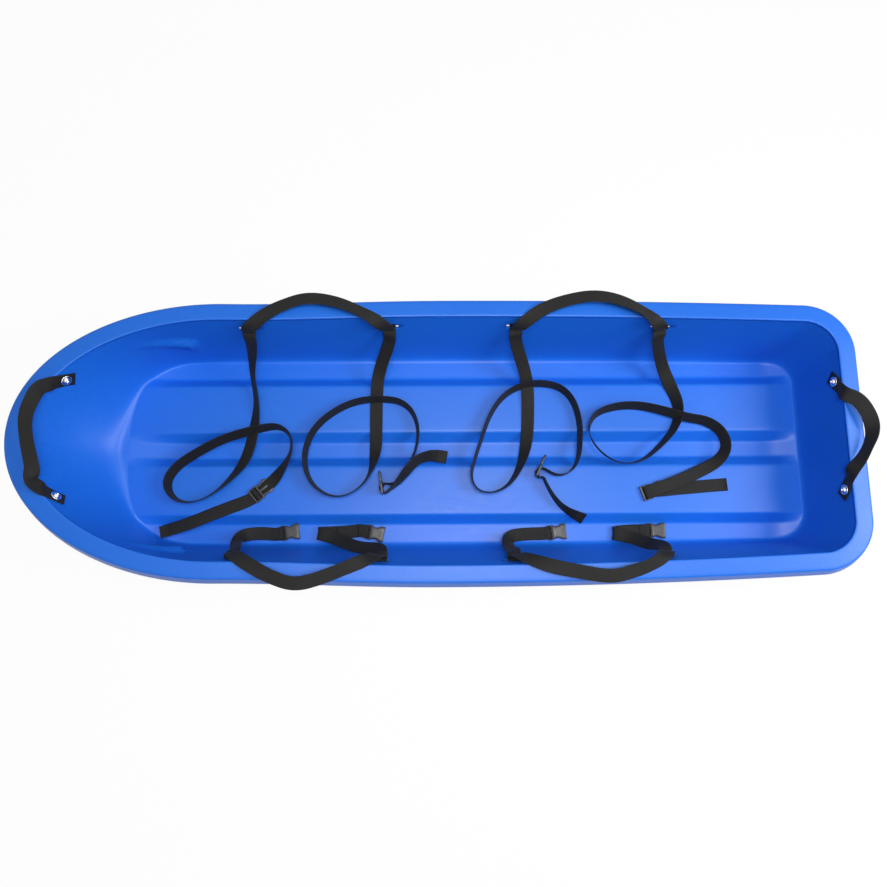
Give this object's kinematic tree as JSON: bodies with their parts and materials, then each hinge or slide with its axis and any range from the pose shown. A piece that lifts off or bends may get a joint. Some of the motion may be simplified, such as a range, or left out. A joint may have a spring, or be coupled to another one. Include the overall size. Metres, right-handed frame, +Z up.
{
  "type": "pulk sled",
  "caption": "Pulk sled: a moulded hull with runners under it, webbing handles at bow and stern, lashing straps through rim slots and side-release buckles.",
  "frame": {"origin": "middle of the centre runner's flat bottom, halfway along the hull, on the snow", "axes": "+X to the bow, +Y to port, +Z up"},
  "size_m": [1.5559, 0.5439, 0.2176],
  "materials": {
    "hull_shell": "fine satin grain, moulded polyethylene",
    "webbing": "woven, slight sheen",
    "buckle_plastic": "satin moulded",
    "bolt_chrome": "polished",
    "steel": "satin"
  },
  "bodies": {
    "sled": {"hull": "hull_shell", "starboard_slot_pins": "steel", "port_slot_pins": "steel", "starboard_slot_turns": "webbing", "port_slot_turns": "webbing", "bow_handle_tabs": "webbing", "stern_handle_tabs": "webbing", "handle_bolts": "bolt_chrome", "handle_washers": "steel", "handle_nuts": "steel", "starboard_front_loop": "webbing", "starboard_rear_loop": "webbing", "port_front_loop": "webbing", "port_rear_loop": "webbing", "starboard_front_fore_leg": "webbing", "starboard_front_aft_leg": "webbing", "starboard_rear_fore_leg": "webbing", "starboard_rear_aft_leg": "webbing", "port_front_fore_leg": "webbing", "port_front_aft_leg": "webbing", "port_rear_fore_leg": "webbing", "port_rear_aft_leg": "webbing", "starboard_front_fore_tail": "webbing", "starboard_front_aft_tail": "webbing", "starboard_rear_fore_tail": "webbing", "starboard_rear_aft_tail": "webbing", "starboard_front_fore_wrap": "webbing", "starboard_front_aft_wrap": "webbing", "starboard_rear_fore_wrap": "webbing", "starboard_rear_aft_wrap": "webbing", "starboard_front_fore_male_buckle": "buckle_plastic", "starboard_front_aft_male_buckle": "buckle_plastic", "starboard_rear_fore_male_buckle": "buckle_plastic", "starboard_rear_aft_male_buckle": "buckle_plastic", "port_front_fore_female_buckle": "buckle_plastic", "port_front_aft_female_buckle": "buckle_plastic", "port_rear_fore_female_buckle": "buckle_plastic", "port_rear_aft_female_buckle": "buckle_plastic"},
    "bow_handle": {"bow_handle": "webbing"},
    "stern_handle": {"stern_handle": "webbing"}
  },
  "joints": [
    {"name": "bow_handle_fold", "type": "hinge", "parent": "sled", "child": "bow_handle", "pos_m": [0.69504, 0, 0.1899], "axis": [0, -1, 0], "range_deg": [0, 90]},
    {"name": "stern_handle_fold", "type": "hinge", "parent": "sled", "child": "stern_handle", "pos_m": [-0.72806, 0, 0.17263], "axis": [0, 1, 0], "range_deg": [0, 90]}
  ]
}
